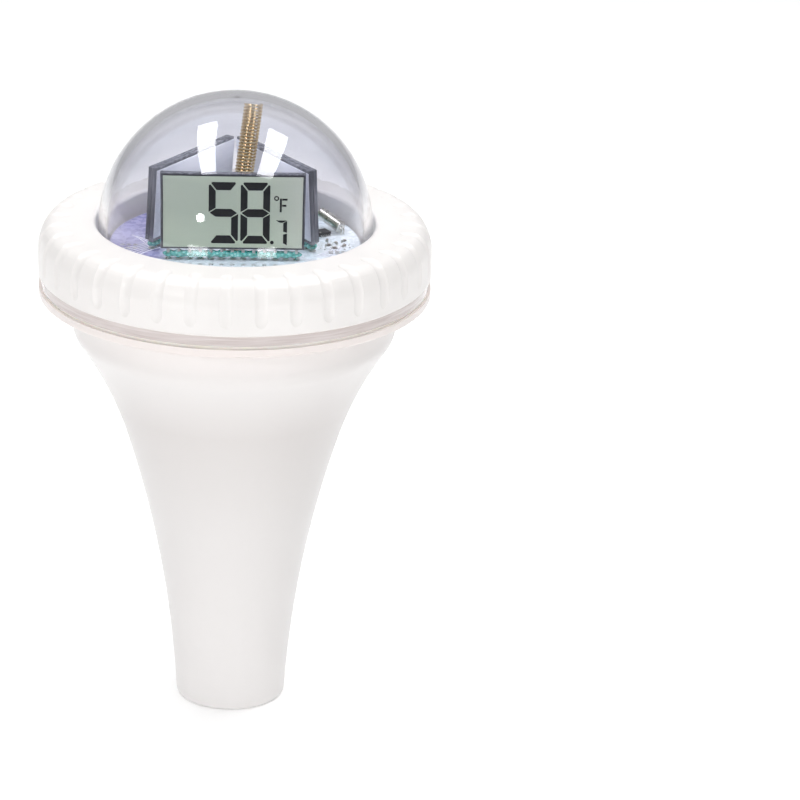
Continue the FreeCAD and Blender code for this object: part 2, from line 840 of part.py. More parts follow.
def make_collar():
    """Grip ring with scoops that run up its side, over the shoulder and out on to the top."""
    radius = S["collar_radius"]
    low = S["flange_top"]
    top = S["collar_top"]
    shoulder = S["shoulder_low"]
    crown = S["shoulder_crown"]
    bend = S["shoulder_bend"]
    wall = S["collar_wall"]
    bend_centre = radius - bend
    crown_centre = radius - S["shoulder_width"]
    crown_height = top - crown
    slant = Vector(crown_centre.value - bend_centre.value, crown_height.value - shoulder.value, 0)
    slant_angle = Size(math.degrees(math.atan2(slant.y, slant.x)),
                       f"(atan2({(crown_height - shoulder).text}; {(crown_centre - bend_centre).text}) / 1 deg)")

    def shoulder_join(offset):
        """Where the two shoulder arcs meet, on a line at an offset outside the collar's face."""
        reach = bend + offset
        return bend_centre + reach * cosine(slant_angle), shoulder + reach * sine(slant_angle)

    join = shoulder_join(ZERO)
    body = new_body("grip_collar")
    revolve(body, [
        (S["collar_hole"], low),
        (S["collar_hole"] + wall, low),
        (S["collar_hole"] + wall, top - wall),
        (crown_centre, top - wall),
        (radius - wall, shoulder + 1.0),
        (radius - wall, low),
        (radius - 0.4, low),
        (radius, low + 0.4),
        (radius, shoulder, bend),
        (join[0], join[1], crown),
        (crown_centre, top),
        (S["collar_hole"] + 1.0, top, 1.0),
        (S["collar_hole"], top - 1.0),
    ])
    offset = S["scoop_radius"] - S["scoop_depth"]
    fade = S["scoop_fade"]
    run_out = S["scoop_run_out"]
    outside = shoulder_join(offset)
    above = top + offset
    lift_angle = as_size(35)
    path = new_sketch(body, "ScoopPath", "XZ_Plane")
    draw(path, [
        (radius + offset + fade, S["scoop_low"] - fade, -fade),
        (radius + offset, S["scoop_low"]),
        (radius + offset, shoulder, bend + offset),
        (outside[0], outside[1], crown + offset),
        (crown_centre, above),
        (S["scoop_end"], above, -run_out),
        (S["scoop_end"] - run_out * sine(lift_angle), above + run_out - run_out * cosine(lift_angle)),
    ], closed=False)
    section = new_sketch(body, "ScoopSection", "YZ_Plane")
    start_radius = radius + offset + fade
    section.setExpression("AttachmentOffset.Base.z", start_radius.text)
    start_height = S["scoop_low"] - fade
    ring = section.addGeometry(Part.Circle(Vector(0, start_height.value, 0), Z_UP, 3.0), False)
    bind_constraint(section, "Radius", ring, size=S["scoop_radius"])
    bind_point(section, ring, 3, ZERO, start_height)
    doc.recompute()
    plain_volume = body.Shape.Volume
    scoop = body.newObject("PartDesign::SubtractivePipe", "Scoop")
    scoop.Profile = section
    scoop.Spine = (path, [f"Edge{number + 1}" for number in range(6)])
    pattern = body.newObject("PartDesign::PolarPattern", "Scoops")
    pattern.Originals = [scoop]
    pattern.Axis = (path, ["V_Axis"])
    pattern.Angle = 360
    bind(pattern, Occurrences=S["scoop_count"])
    body.Tip = pattern
    quarter_pitch = S["scoop_count"] * 4
    body.setExpression("Placement.Rotation.Angle", f"0 - {(as_size(360) / quarter_pitch).text}")
    doc.recompute()
    removed = plain_volume - body.Shape.Volume
    print("scoops removed", round(removed / S["scoop_count"].value, 2), "mm3 each")
    assert removed > S["scoop_count"].value * 3


def write_parts():
    """Checks every object and writes each sub-part to its own file."""
    doc.recompute()
    for item in doc.Objects:
        assert not {"Invalid", "Error"} & set(item.State), (item.Name, item.Label, item.State)
    labels = [piece.Label for piece in PIECES]
    assert len(set(labels)) == len(labels)
    os.makedirs("parts", exist_ok=True)
    for piece in PIECES:
        shape = piece.Shape
        assert not shape.isNull() and shape.isValid() and shape.Solids, piece.Label
        shape.exportStep(f"parts/{piece.Label}.step")
    print(len(PIECES), "sub-parts")


make_hull()
make_ballast()
make_probe()
make_sensor_lead()
make_potting()
make_carrier()
make_holder()
make_cell("battery_cell_left", -1, True)
make_cell("battery_cell_right", 1, False)
make_contacts()
make_battery_leads()
make_board()
make_screws()
make_display("front", 0, 0.0)
make_display("right", S["right_panel_angle"].value, -0.3)
make_display("left", -S["left_panel_angle"].value, 0.2)
make_antenna()
make_crystal()
make_chips()
make_small_components()
make_switches()
make_seal()
make_dome()
make_collar()
write_parts()
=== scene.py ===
"""The looks of a floating pool thermometer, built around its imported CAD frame, in metres."""
import math

import bmesh
import bpy
from mathutils import Matrix, Vector


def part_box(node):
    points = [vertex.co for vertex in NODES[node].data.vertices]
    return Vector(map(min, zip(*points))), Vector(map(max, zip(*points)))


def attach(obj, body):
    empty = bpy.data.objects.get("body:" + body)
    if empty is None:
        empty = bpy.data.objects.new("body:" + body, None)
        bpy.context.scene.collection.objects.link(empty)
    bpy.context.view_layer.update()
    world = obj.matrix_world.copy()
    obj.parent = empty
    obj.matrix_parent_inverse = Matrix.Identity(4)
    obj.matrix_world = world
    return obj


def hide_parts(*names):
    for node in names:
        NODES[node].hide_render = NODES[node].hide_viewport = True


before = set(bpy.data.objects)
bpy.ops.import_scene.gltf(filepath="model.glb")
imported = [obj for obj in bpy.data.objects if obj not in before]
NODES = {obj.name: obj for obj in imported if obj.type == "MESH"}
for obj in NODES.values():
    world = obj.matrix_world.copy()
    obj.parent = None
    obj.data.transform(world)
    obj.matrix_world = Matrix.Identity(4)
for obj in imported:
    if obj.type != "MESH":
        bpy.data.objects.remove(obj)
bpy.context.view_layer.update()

MM = 0.001
UP = Vector((0, 0, 1))

# ---------------------------------------------------------------- driving sizes, in millimetres

BOARD_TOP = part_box("main_board")[1].z / MM
HULL_TONES_TOP = 110.0   # heights between which the hull's tones, painted shade among them, and the dome's tints are spread
DOME_FOOT = 112.0
DOME_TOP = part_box("dome_cover")[1].z / MM
DOME_RADIUS = 33.5
DOME_WALL = 2.0
ON_SPHERE = 0.02         # how far a corner of the dome's faces may lie from the true sphere
RIM_TOP = 112.6          # the cover's rim lies below this height and outside this radius
RIM_INNER_RADIUS = 36.0
DOME_CENTRE_HEIGHT = DOME_TOP - DOME_RADIUS

PANELS = {"front": (0.0, 0.0), "right": (120.0, -0.3), "left": (-122.0, 0.2)}  # angle, sideways shift
PANEL_REACH = 14.0       # from the panels' common centre out to each face
PANEL_LEAN = 4.0
PANEL_CENTRE = (-0.7, 0.0, 122.4)
GLASS_WIDTH = 34.2
GLASS_HEIGHT = 18.7
PLATE_THICKNESS = 1.05
GLASS_DEPTH = 2.2
GLASS_LEDGE = 0.35       # how far the back plate reaches below the front one
FACE_BACK = -0.03        # depths from the glass: the display's sheet, its skin and the ink on it
FACE_FRONT = -0.14
INK_FRONT = -0.17
FILM_WIDTH = 34.0
FILM_BOTTOM = 1.0
FILM_TOP = 18.1
FILM_THICKNESS = 0.3
PIN_COUNT = 13
PIN_PITCH = 2.54

COIL_FOOT = Vector((0.0, 4.0, 120.35))
COIL_RISE = Vector((4.0, 2.3, 32.4))
COIL_LENGTH = 33.6
COIL_RADIUS = 2.08
COIL_WIRE = 0.3
COIL_PITCH = 0.81
COIL_TAIL = 1.0

CRYSTAL_FOOT = Vector((26.2, 6.3, 121.75))
CRYSTAL_TIP = Vector((20.9, 11.6, 124.0))


# ---------------------------------------------------------------- materials

def srgb(red, green, blue):
    """A colour picked in 0 to 255 display values, as the linear colour that a shader takes."""
    def linear(value):
        value = value / 255
        return value / 12.92 if value <= 0.04045 else ((value + 0.055) / 1.055) ** 2.4
    return (linear(red), linear(green), linear(blue), 1.0)


class Finish:
    """A procedural material under construction: one Principled shader and the textures that feed it."""

    def __init__(self, name, **inputs):
        self.material = bpy.data.materials.new(name)
        self.material.use_nodes = True
        self.tree = self.material.node_tree
        self.shader = self.tree.nodes["Principled BSDF"]
        self.place = self.tree.nodes.new("ShaderNodeTexCoord").outputs["Object"]
        self.relief = None
        for key, value in inputs.items():
            self.shader.inputs[key.replace("_", " ")].default_value = value

    def node(self, kind, **inputs):
        """A new node; an underscore in an input's name stands for a space."""
        made = self.tree.nodes.new(kind)
        for key, value in inputs.items():
            made.inputs[key.replace("_", " ")].default_value = value
        return made

    def link(self, source, target):
        self.tree.links.new(source, target)

    def stretched(self, factors):
        """The place on the object with each axis scaled, for grain that runs one way."""
        mapping = self.node("ShaderNodeMapping", Scale=factors)
        self.link(self.place, mapping.inputs["Vector"])
        return mapping.outputs["Vector"]

    def noise(self, size, detail=3.0, place=None):
        """Noise with features about `size` millimetres across."""
        texture = self.node("ShaderNodeTexNoise", Scale=1 / (size * MM), Detail=detail)
        self.link(place or self.place, texture.inputs["Vector"])
        return texture.outputs["Fac"]

    def cells(self, size, feature="F1", place=None):
        """Rounded cells about `size` millimetres across."""
        texture = self.node("ShaderNodeTexVoronoi", Scale=1 / (size * MM))
        texture.feature = feature
        self.link(place or self.place, texture.inputs["Vector"])
        return texture.outputs["Distance"]

    def ramp(self, source, stops):
        """Colours along a value: stops are (position, colour)."""
        made = self.node("ShaderNodeValToRGB")
        band = made.color_ramp
        while len(band.elements) < len(stops):
            band.elements.new(0.5)
        for element, (position, colour) in zip(band.elements, stops):
            element.position = position
            element.color = colour
        self.link(source, made.inputs["Fac"])
        return made.outputs["Color"]

    def along(self, axis, start, end):
        """A value that runs from 0 to 1 between two places, in millimetres, on one axis of the object."""
        split = self.node("ShaderNodeSeparateXYZ")
        self.link(self.place, split.inputs["Vector"])
        made = self.node("ShaderNodeMapRange", From_Min=start * MM, From_Max=end * MM)
        self.link(split.outputs[axis], made.inputs["Value"])
        return made.outputs["Result"]

    def blend(self, factor, first, second):
        """A mix of two colour outputs; the factor is a number or an output."""
        made = self.tree.nodes.new("ShaderNodeMix")
        made.data_type = "RGBA"
        if isinstance(factor, float):
            made.inputs[0].default_value = factor
        else:
            self.link(factor, made.inputs[0])
        self.link(first, made.inputs[6])
        self.link(second, made.inputs[7])
        return made.outputs[2]

    def colour(self, source):
        """Feeds the base colour."""
        self.link(source, self.shader.inputs["Base Color"])
        return self

    def mottle(self, low, high, size):
        """Colour that drifts between two close tones."""
        return self.colour(self.ramp(self.noise(size), [(0.3, low), (0.7, high)]))

    def roughness(self, low, high, size):
        """Roughness that drifts between two values over patches about `size` millimetres across."""
        source = self.node("ShaderNodeMapRange", To_Min=low, To_Max=high)
        self.link(self.noise(size), source.inputs["Value"])
        self.link(source.outputs["Result"], self.shader.inputs["Roughness"])
        return self

    def bump(self, source, depth, strength=1.0):
        """Adds relief `depth` millimetres deep, on top of any relief added before."""
        made = self.node("ShaderNodeBump", Distance=depth * MM, Strength=strength)
        self.link(source, made.inputs["Height"])
        if self.relief is not None:
            self.link(self.relief, made.inputs["Normal"])
        self.relief = made.outputs["Normal"]
        self.link(self.relief, self.shader.inputs["Normal"])
        return self

    def bare(self):
        """The finished Blender material."""
        return self.material


MOULDED = dict(IOR=1.5, Coat_Weight=0.1, Coat_Roughness=0.08)


def polished_skin(finish):
    """The skin that a polished mould leaves: an even satin, shallow sink waves and a very fine grain."""
    finish.roughness(0.26, 0.38, 7)
    finish.bump(finish.noise(9, 1), 0.005, 0.4)
    return finish.bump(finish.noise(0.35, 2), 0.001, 0.4).bare()


def moulded_plastic(name, low, high):
    """Injection-moulded plastic: a faint drift of tone under a polished skin."""
    finish = Finish(name, **MOULDED)
    finish.mottle(low, high, 18)
    return polished_skin(finish)


HULL_TONES_WITH_PAINTED_SHADE = [           # share of the way up the hull, how light it is painted there (the dip below the neck is painted shade), and how warm
    (0.05, 233, 3), (0.25, 228, 3), (0.45, 222, 3), (0.72, 209, 4),
    (0.86, 219, 3), (0.94, 228, 4), (0.98, 230, 8)]


def hull_plastic():
    """The hull's plastic: white at the foot, a little greyer below the neck as painted shade under the
    overhanging collar, and warm at the lip.
    """
    finish = Finish("hull_plastic", **MOULDED)
    # painted shade: the ramp darkens the hull below the neck, where the collar's overhang keeps light off
    # it
    height = finish.along("Z", 0.0, HULL_TONES_TOP)
    stops = []
    for share, tone, warmth in HULL_TONES_WITH_PAINTED_SHADE:
        stops.append((share, srgb(tone, tone - warmth, tone - 1.4 * warmth)))
    finish.colour(finish.ramp(height, stops))
    return polished_skin(finish)


def clear_plastic():
    """Polycarbonate dome: a faint smoky tint, paler at foot and top, and lamps shine straight through."""
    finish = Finish("clear_dome", Transmission_Weight=1.0, IOR=1.52, Roughness=0.0)
    height = finish.along("Z", DOME_FOOT, DOME_TOP)
    tint = [
        (0.4, srgb(250, 249, 251)), (0.55, srgb(225, 225, 231)),
        (0.67, srgb(221, 221, 228)), (0.82, srgb(242, 242, 247))]
    finish.colour(finish.ramp(height, tint))
    finish.bump(finish.noise(16, 1), 0.002, 0.3)
    straight = finish.node("ShaderNodeBsdfTransparent", Color=srgb(244, 244, 247))
    light_path = finish.node("ShaderNodeLightPath")
    mix = finish.node("ShaderNodeMixShader")
    factor, plain, shadow = mix.inputs
    finish.link(light_path.outputs["Is Shadow Ray"], factor)
    finish.link(finish.shader.outputs["BSDF"], plain)
    finish.link(straight.outputs["BSDF"], shadow)
    finish.link(mix.outputs["Shader"], finish.tree.nodes["Material Output"].inputs["Surface"])
    return finish.bare()


def clear_edge_painted_light():
    """The cover's clamped rim: clear stock lit from all round, painted an opaque milky rose in streaks as
    painted light in place of that light.
    """
    finish = Finish("clear_edge_painted_light", Transmission_Weight=0.25, IOR=1.52, Coat_Weight=0.7, Coat_Roughness=0.05)
    streaks = finish.noise(9, 2, finish.stretched((1, 1, 24)))
    # painted light: the streaky milky rose stands in for light gathered through the clear rim, not the
    # stock's own colour
    finish.colour(finish.ramp(streaks, [(0.3, srgb(218, 204, 200)), (0.7, srgb(242, 232, 230))]))
    finish.roughness(0.1, 0.2, 9)
    return finish.bump(streaks, 0.01, 0.4).bare()


def silicone():
    """Cream silicone that lets a little light in, with a dull moulded skin."""
    finish = Finish("silicone", IOR=1.42, Subsurface_Weight=0.15, Subsurface_Scale=0.002)
    finish.mottle(srgb(246, 235, 226), srgb(251, 243, 236), 6)
    finish.roughness(0.42, 0.55, 3)
    return finish.bump(finish.noise(0.5, 2), 0.006, 0.6).bare()


def solder_mask():
    """Printed board: violet mask at the left rear, and elsewhere a pale tone that paints the bright room's
    reflection on the same mask, over copper pours and glass weave.
    """
    finish = Finish("board", IOR=1.52, Coat_Weight=0.6, Coat_Roughness=0.06)
    left_side = finish.along("X", -18.5, -15.5)
    violet = finish.ramp(finish.noise(7, 2), [(0.35, srgb(134, 133, 180)), (0.65, srgb(156, 155, 198))])
    # painted reflection: the pale tone stands in for the bright room mirrored in the violet mask
    pale = finish.ramp(finish.noise(5, 2), [(0.35, srgb(214, 228, 238)), (0.65, srgb(230, 239, 246))])
    front_side = finish.along("Y", -17.5, -13.0)
    sides = finish.blend(left_side, violet, pale)
    finish.colour(finish.blend(front_side, pale, sides))
    finish.roughness(0.2, 0.35, 2)
    finish.bump(finish.cells(2.2), 0.02, 0.5)
    weave = finish.stretched((1, 1, 0))
    return finish.bump(finish.cells(0.55, place=weave), 0.008, 0.5).bare()


def polarizer():
    """Grey-green display face that pales at its right end, with a fine grain and a satin sheen."""
    finish = Finish("lcd_face", IOR=1.35)
    sweep = finish.along("X", -FILM_WIDTH / 2, FILM_WIDTH / 2)
    tones = [
        (0.0, srgb(200, 212, 191)), (0.4, srgb(197, 210, 188)),
        (0.75, srgb(201, 213, 191)), (1.0, srgb(222, 228, 212))]
    grain = finish.ramp(finish.noise(0.25, 2), [(0.3, srgb(195, 208, 188)), (0.7, srgb(201, 214, 194))])
    finish.colour(finish.blend(0.35, finish.ramp(sweep, tones), grain))
    finish.roughness(0.25, 0.34, 3)
    return finish.bump(finish.noise(0.3, 2), 0.001, 0.5).bare()


def segment_ink():
    """The dark strokes of the display, as satin as the sheet they lie on."""
    finish = Finish("lcd_segment", IOR=1.3)
    finish.mottle(srgb(24, 25, 27), srgb(34, 35, 37), 1.5)
    return finish.roughness(0.3, 0.42, 2).bump(finish.noise(0.3, 2), 0.001, 0.5).bare()


def display_glass():
    """The display's glass plates, seen into from the edge: smoky grey with ground streaks."""
    finish = Finish("display_glass", IOR=1.52, Coat_Weight=0.5, Coat_Roughness=0.05)
    streaks = finish.noise(1.2, 3, finish.stretched((1, 1, 0.12)))
    greys = [(0.3, srgb(78, 80, 88)), (0.55, srgb(108, 110, 118)), (0.75, srgb(150, 152, 160))]
    finish.colour(finish.ramp(streaks, greys))
    finish.roughness(0.12, 0.3, 1.5)
    return finish.bump(finish.noise(0.4, 3), 0.02, 0.5).bare()


def edge_seal():
    """The dark glue line that joins the two glass plates."""
    finish = Finish("display_seal", IOR=1.5)
    finish.mottle(srgb(38, 40, 46), srgb(58, 60, 68), 2)
    return finish.roughness(0.3, 0.5, 1).bump(finish.noise(0.4, 2), 0.01).bare()


def reflector_film():
    """The silvery sheet on a display's back: a fine satin brush, and painted shade that makes it cooler and
    darker near the board.
    """
    finish = Finish("display_film", IOR=1.5, Coat_Weight=0.3, Coat_Roughness=0.15)
    brush = finish.noise(0.6, 3, finish.stretched((0.15, 0.15, 1)))
    brushed = finish.ramp(brush, [(0.3, srgb(232, 234, 240)), (0.7, srgb(246, 247, 250))])
    # painted shade: the sheet darkens and cools towards the board, where the panels' inner corner gets less
    # light
    height = finish.along("Z", 122.0, 137.0)
    painted_board_shade = finish.ramp(height, [(0.1, srgb(186, 190, 204)), (0.8, srgb(244, 245, 249))])
    finish.colour(finish.blend(0.5, brushed, painted_board_shade))
    finish.roughness(0.3, 0.42, 4)
    return finish.bump(brush, 0.003, 0.5).bare()


def bare_metal(name, low, high, rough, tarnish=3.0, brush=None):
    """Metal with patches of tarnish; brush stretches its scratches along the axes given."""
    finish = Finish(name, Metallic=1.0)
    finish.mottle(low, high, tarnish)
    finish.roughness(rough[0], rough[1], tarnish / 2)
    scratches = finish.noise(0.3, 3, finish.stretched(brush) if brush else None)
    return finish.bump(scratches, 0.006, 0.6).bare()


def gilt_wire():
    """Gilt spring wire: deeper gold near the board, paler towards its tip, with a drawn shine."""
    finish = Finish("gold_wire", Metallic=1.0)
    height = finish.along("Z", 124.0, 152.0)
    finish.colour(finish.ramp(height, [(0.3, srgb(236, 212, 166)), (0.75, srgb(252, 238, 216))]))
    finish.roughness(0.1, 0.2, 2)
    return finish.bump(finish.noise(0.3, 3), 0.006, 0.6).bare()


def teal_resin():
    """Cured resin over the display's pins: blue-green, half clear, with lighter and darker clots."""
    finish = Finish("resin", IOR=1.5, Transmission_Weight=0.1, Coat_Weight=0.6, Coat_Roughness=0.04)
    clots = finish.cells(0.9)
    teals = [(0.05, srgb(196, 242, 236)), (0.35, srgb(92, 202, 196)), (0.8, srgb(18, 138, 124))]
    finish.colour(finish.ramp(clots, teals))
    finish.roughness(0.08, 0.22, 1)
    return finish.bump(finish.noise(0.6, 3), 0.08, 0.6).bare()


def moulded_epoxy(name, low, high):
    """A matt filled resin or ceramic with a fine tooth."""
    finish = Finish(name, IOR=1.5)
    finish.mottle(low, high, 1.2)
    finish.roughness(0.5, 0.7, 0.8)
    return finish.bump(finish.noise(0.12, 2), 0.008, 0.7).bare()


def cell_sleeve():
    """The shrink sleeve of a battery cell, plain and a little wrinkled along its length."""
    finish = Finish("cell_sleeve", IOR=1.5, Coat_Weight=0.5, Coat_Roughness=0.1)
    finish.mottle(srgb(46, 84, 96), srgb(54, 96, 108), 8)
    finish.roughness(0.2, 0.34, 4)
    return finish.bump(finish.noise(0.8, 3, finish.stretched((1, 1, 0.2))), 0.02, 0.5).bare()


def lead_jacket():
    """Soft vinyl over a lead."""
    finish = Finish("lead_jacket", IOR=1.5, Sheen_Weight=0.1)
    finish.mottle(srgb(38, 38, 40), srgb(58, 56, 58), 5)
    return finish.roughness(0.38, 0.5, 2).bump(finish.noise(0.3, 2), 0.006, 0.6).bare()


def cast_iron():
    """The ballast's rough cast skin."""
    finish = Finish("cast_weight", IOR=1.5, Metallic=0.3)
    finish.mottle(srgb(96, 98, 104), srgb(126, 128, 132), 4)
    finish.roughness(0.5, 0.7, 2)
    return finish.bump(finish.noise(0.9, 4), 0.08, 0.7).bare()


def pale_floor():
    """A nearly white floor that glows a little, so that it stays as pale as the walls."""
    glow = dict(Emission_Color=(1, 1, 1, 1), Emission_Strength=0.14)
    finish = Finish("floor", IOR=1.4, Roughness=0.9, **glow)
    finish.mottle(srgb(249, 249, 249), srgb(251, 251, 251), 60)
    return finish.bump(finish.noise(2, 2), 0.02, 0.3).bare()


MATERIALS = {
    "hull_plastic": hull_plastic(),
    "collar_plastic": moulded_plastic("collar_plastic", srgb(230, 227, 225), srgb(234, 231, 229)),
    "clear_dome": clear_plastic(),
    "clear_edge_painted_light": clear_edge_painted_light(),
    "silicone": silicone(),
    "board": solder_mask(),
    "lcd_face": polarizer(),
    "lcd_segment": segment_ink(),
    "display_glass": display_glass(),
    "display_seal": edge_seal(),
    "display_film": reflector_film(),
    "tinned_metal": bare_metal("tinned_metal", srgb(178, 178, 176), srgb(214, 214, 212), (0.2, 0.38)),
    "resin": teal_resin(),
    "gold_wire": gilt_wire(),
    "can_metal": bare_metal("can_metal", srgb(214, 212, 206), srgb(232, 230, 224), (0.2, 0.34), 5.0),
    "chip_epoxy": moulded_epoxy("chip_epoxy", srgb(34, 34, 38), srgb(48, 48, 52)),
    "ceramic": moulded_epoxy("ceramic", srgb(92, 88, 86), srgb(132, 122, 112)),
    "trace": moulded_epoxy("trace", srgb(226, 227, 243), srgb(244, 244, 251)),
    "carrier_plastic": moulded_plastic("carrier_plastic", srgb(214, 214, 216), srgb(224, 224, 226)),
    "cell_sleeve": cell_sleeve(),
    "contact_metal": bare_metal(
        "contact_metal", srgb(196, 190, 176), srgb(216, 212, 200), (0.2, 0.34), 4.0),
    "screw_steel": bare_metal("screw_steel", srgb(168, 170, 174), srgb(196, 198, 202), (0.24, 0.4), 2.0),
    "cast_weight": cast_iron(),
    "probe_steel": bare_metal(
        "probe_steel", srgb(190, 190, 188), srgb(212, 212, 210), (0.2, 0.32), 3.0, brush=(1, 1, 0.1)),
    "bead_epoxy": moulded_epoxy("bead_epoxy", srgb(22, 24, 30), srgb(34, 36, 44)),
    "potting": moulded_epoxy("potting", srgb(44, 44, 46), srgb(58, 58, 60)),
    "lead_jacket": lead_jacket(),
    "button_plastic": moulded_plastic("button_plastic", srgb(40, 40, 44), srgb(52, 52, 56)),
    "floor": pale_floor(),
}


def dress_cad_nodes():
    """Each carried-over CAD node takes the finish of its material slot."""
    for node in NODES.values():
        for place in node.material_slots:
            slot = place.material.name.split(".")[0]
            place.material = MATERIALS[slot]


# ---------------------------------------------------------------- mesh tools, in millimetres

def millimetres(x, y, z):
    """A point given in millimetres, as the metres that Blender takes."""
    return Vector((x, y, z)) * MM


def standing(x, y, z=0.0, angle=0.0):
    """A place given in millimetres, turned about the vertical by an angle in degrees."""
    return Matrix.Translation(millimetres(x, y, z)) @ Matrix.Rotation(math.radians(angle), 4, "Z")


def circle(radius, sides, height=0.0):
    """Points evenly round the vertical."""
    turns = [2 * math.pi * i / sides for i in range(sides)]
    return [(radius * math.cos(turn), radius * math.sin(turn), height) for turn in turns]


SHARP_ANGLE = math.radians(40)


class Piece:
    """A mesh drawn in millimetres in its own frame, then put in place as one object."""

    def __init__(self, name, *slots):
        self.name = name
        self.slots = slots
        self.mesh = bmesh.new()
        self.finish = 0          # which of the slots the next faces take

    def face(self, corners):
        """One face, in the finish that is in use."""
        self.mesh.faces.new(corners).material_index = self.finish

    def point(self, place):
        """One corner, given in millimetres."""
        return self.mesh.verts.new(Vector(place) * MM)

    def rings(self, rings, close_ends=True):
        """Skins a row of rings of points, which all have the same count."""
        rows = [[self.point(place) for place in ring] for ring in rings]
        count = len(rows[0])
        for below, above in zip(rows, rows[1:]):
            for i in range(count):
                j = (i + 1) % count
                self.face([below[i], below[j], above[j], above[i]])
        if close_ends:
            self.face(list(reversed(rows[0])))
            self.face(rows[-1])

    def block(self, corner, opposite, bevel=0.0, steps=2, place=Matrix.Identity(4)):
        """A box between two opposite corners, given in any order, with its edges rounded."""
        low = Vector([min(pair) for pair in zip(corner, opposite)])
        high = Vector([max(pair) for pair in zip(corner, opposite)])
        middle = (high + low) / 2
        stretch = Matrix.Diagonal((*((high - low) * MM), 1))
        where = place @ Matrix.Translation(middle * MM) @ stretch
        made = bmesh.ops.create_cube(self.mesh, size=1.0, matrix=where)["verts"]
        edges = list({edge for vertex in made for edge in vertex.link_edges})
        faces = list({face for vertex in made for face in vertex.link_faces})
        for face in faces:
            face.material_index = self.finish
        if bevel:
            grown = bmesh.ops.bevel(
                self.mesh, geom=made + edges, offset=bevel * MM, segments=steps,
                affect="EDGES", profile=0.5, material=-1)
            for face in grown["faces"]:
                face.material_index = self.finish

    def prism(self, outline, front, back):
        """A flat outline of (x, z) points, given thickness along y."""
        near = [self.point((x, front, z)) for x, z in outline]
        far = [self.point((x, back, z)) for x, z in outline]
        count = len(outline)
        self.face(near)
        self.face(list(reversed(far)))
        for i in range(count):
            j = (i + 1) % count
            self.face([near[j], near[i], far[i], far[j]])

    def turned(self, profile, sides, place=Matrix.Identity(4), close_ends=True):
        """A shape of revolution about z from (radius, height) points."""
        rings = []
        for radius, height in profile:
            rings.append([place @ millimetres(*spot) / MM for spot in circle(radius, sides, height)])
        self.rings(rings, close_ends)

    def tube(self, path, radius, sides=8):
        """A round wire along a row of points, with its ends rounded off."""
        path = [Vector(spot) for spot in path]
        last = len(path) - 1
        along = [(path[min(i + 1, last)] - path[max(i - 1, 0)]).normalized() for i in range(len(path))]
        side = along[0].orthogonal().normalized()
        unit = circle(1.0, sides)
        rings = []
        for i, (spot, heading) in enumerate(zip(path, along)):
            side = (side - heading * side.dot(heading)).normalized()
            across = heading.cross(side)
            for shift, share in self.end_steps(i, last):
                centre = spot + heading * shift * radius
                rings.append([centre + (side * u + across * v) * radius * share for u, v, _ in unit])
        self.rings(rings)

    @staticmethod
    def end_steps(i, last):
        """How a wire's ring at point i is shifted and shrunk, which rounds its two ends."""
        if i == 0:
            return [(-0.3, 0.6), (0.0, 1.0)]
        if i == last:
            return [(0.0, 1.0), (0.3, 0.6)]
        return [(0.0, 1.0)]

    def finished(self, place=Matrix.Identity(4), body="hull", replaced=(), smooth=True):
        """Makes the object in place with its finishes, hangs it on the body it rides on, and hides the CAD
        parts it replaces.
        """
        bmesh.ops.recalc_face_normals(self.mesh, faces=self.mesh.faces)
        data = bpy.data.meshes.new(self.name)
        self.mesh.to_mesh(data)
        self.mesh.free()
        for key in self.slots:
            data.materials.append(MATERIALS[key])
        piece = bpy.data.objects.new(self.name, data)
        bpy.context.scene.collection.objects.link(piece)
        piece.matrix_world = place
        if smooth:
            data.shade_smooth()
            data.set_sharp_from_angle(angle=SHARP_ANGLE)
        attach(piece, body)
        if replaced:
            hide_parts(*replaced)


def ribbon(piece, path, width, low, high):
    """A flat strip of copper that follows a row of (x, y) points on the board."""
    path = [Vector((x, y, 0)) for x, y in path]
    last = len(path) - 1
    rings = []
    for i, spot in enumerate(path):
        heading = (path[min(i + 1, last)] - path[max(i - 1, 0)]).normalized()
        across = heading.cross(UP) * width / 2
        left, right = spot + across, spot - across
        rings.append([
            (left.x, left.y, low), (right.x, right.y, low),
            (right.x, right.y, high), (left.x, left.y, high)])
    piece.rings(rings)


def bend(start, middle, end, steps=10):
    """Points along a smooth bend that leaves start and reaches end by way of a control point."""
    points = []
    for i in range(steps + 1):
        t = i / steps
        points.append(tuple(
            (1 - t) ** 2 * a + 2 * t * (1 - t) * b + t * t * c for a, b, c in zip(start, middle, end)))
    return points


# ---------------------------------------------------------------- the displays

DIGIT_SEGMENTS = {"5": "afgcd", "8": "abcdefg", "7": "abc"}
LARGE_DIGIT = dict(width=7.0, height=14.95, upright=1.65, level=1.95, gap=0.22, corner=0.75)
SMALL_DIGIT = dict(width=2.75, height=6.2, upright=0.92, level=0.56, gap=0.08, corner=0.12)
READING = [              # digit, its left edge, its foot, its size
    ("5", -5.75, 1.8, LARGE_DIGIT), ("8", 1.8, 1.8, LARGE_DIGIT), ("7", 10.15, 1.4, SMALL_DIGIT)]
UNIT_LETTER = [          # the upright and the two bars, each from its lower left to its upper right
    ((11.08, 9.6), (11.58, 12.93)), ((11.64, 12.46), (12.9, 12.93)), ((11.64, 10.96), (12.66, 11.42))]


